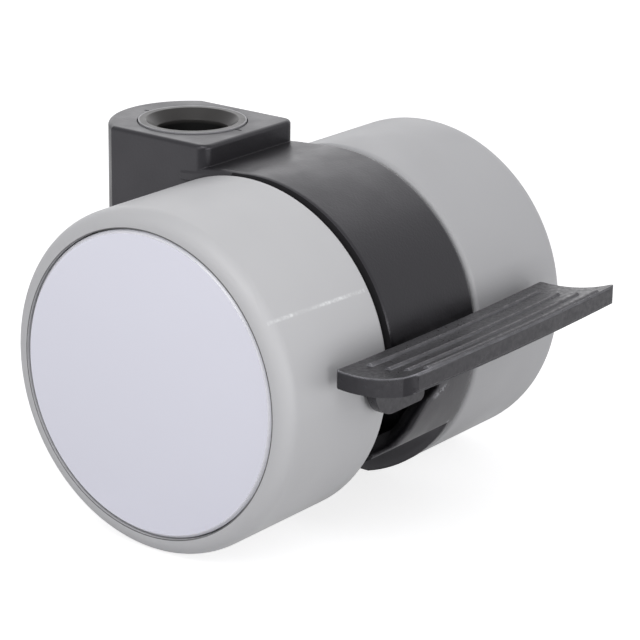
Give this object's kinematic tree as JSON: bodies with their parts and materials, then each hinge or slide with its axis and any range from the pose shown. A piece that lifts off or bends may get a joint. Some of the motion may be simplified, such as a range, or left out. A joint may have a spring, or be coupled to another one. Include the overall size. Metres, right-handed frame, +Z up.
{
  "type": "twin wheel castor with brake",
  "caption": "Twin wheel furniture castor: grey tyred wheels with bright disc caps, black hooded housing, round socket for a stem and a ridged foot brake pedal.",
  "frame": {"origin": "on the swivel axis, in the plane of the stem socket's top face", "axes": "+Z up along the stem bore, +X from the swivel axis towards the axle and the brake pedal, +Y to the right wheel"},
  "size_m": [0.0723, 0.068, 0.053],
  "materials": {
    "housing_black": "satin black moulded plastic, lightly textured",
    "socket_black": "smooth dark plastic sleeve",
    "tyre_grey": "soft grey tread, satin smooth",
    "core_black": "plain black moulded plastic",
    "cap_bright": "bright chrome-plated plastic, mirror smooth",
    "bearing_grey": "plain dark grey bearing plastic",
    "steel": "plain bright steel"
  },
  "bodies": {
    "socket": {"stem_socket": "socket_black", "socket_clip": "steel"},
    "housing": {"housing": "housing_black", "socket_washer": "steel", "axle": "steel", "left_spacer": "steel", "right_spacer": "steel", "left_axle_clip": "steel", "right_axle_clip": "steel", "brake_pin": "steel", "brake_spring": "steel"},
    "left_wheel": {"left_tyre": "tyre_grey", "left_wheel": "core_black", "left_bush": "bearing_grey", "left_cap": "cap_bright"},
    "right_wheel": {"right_tyre": "tyre_grey", "right_wheel": "core_black", "right_bush": "bearing_grey", "right_cap": "cap_bright"},
    "brake": {"brake_pedal": "housing_black"}
  },
  "joints": [
    {"name": "swivel", "type": "hinge", "parent": "socket", "child": "housing", "pos_m": [0, 0, 0], "axis": [0, 0, 1], "continuous": true},
    {"name": "left_roll", "type": "hinge", "parent": "housing", "child": "left_wheel", "pos_m": [0.02, 0, -0.028], "axis": [0, 1, 0], "continuous": true},
    {"name": "right_roll", "type": "hinge", "parent": "housing", "child": "right_wheel", "pos_m": [0.02, 0, -0.028], "axis": [0, 1, 0], "continuous": true},
    {"name": "brake", "type": "hinge", "parent": "housing", "child": "brake", "pos_m": [0.036, 0, -0.0288], "axis": [0, 1, 0], "range_deg": [0, 16]}
  ]
}
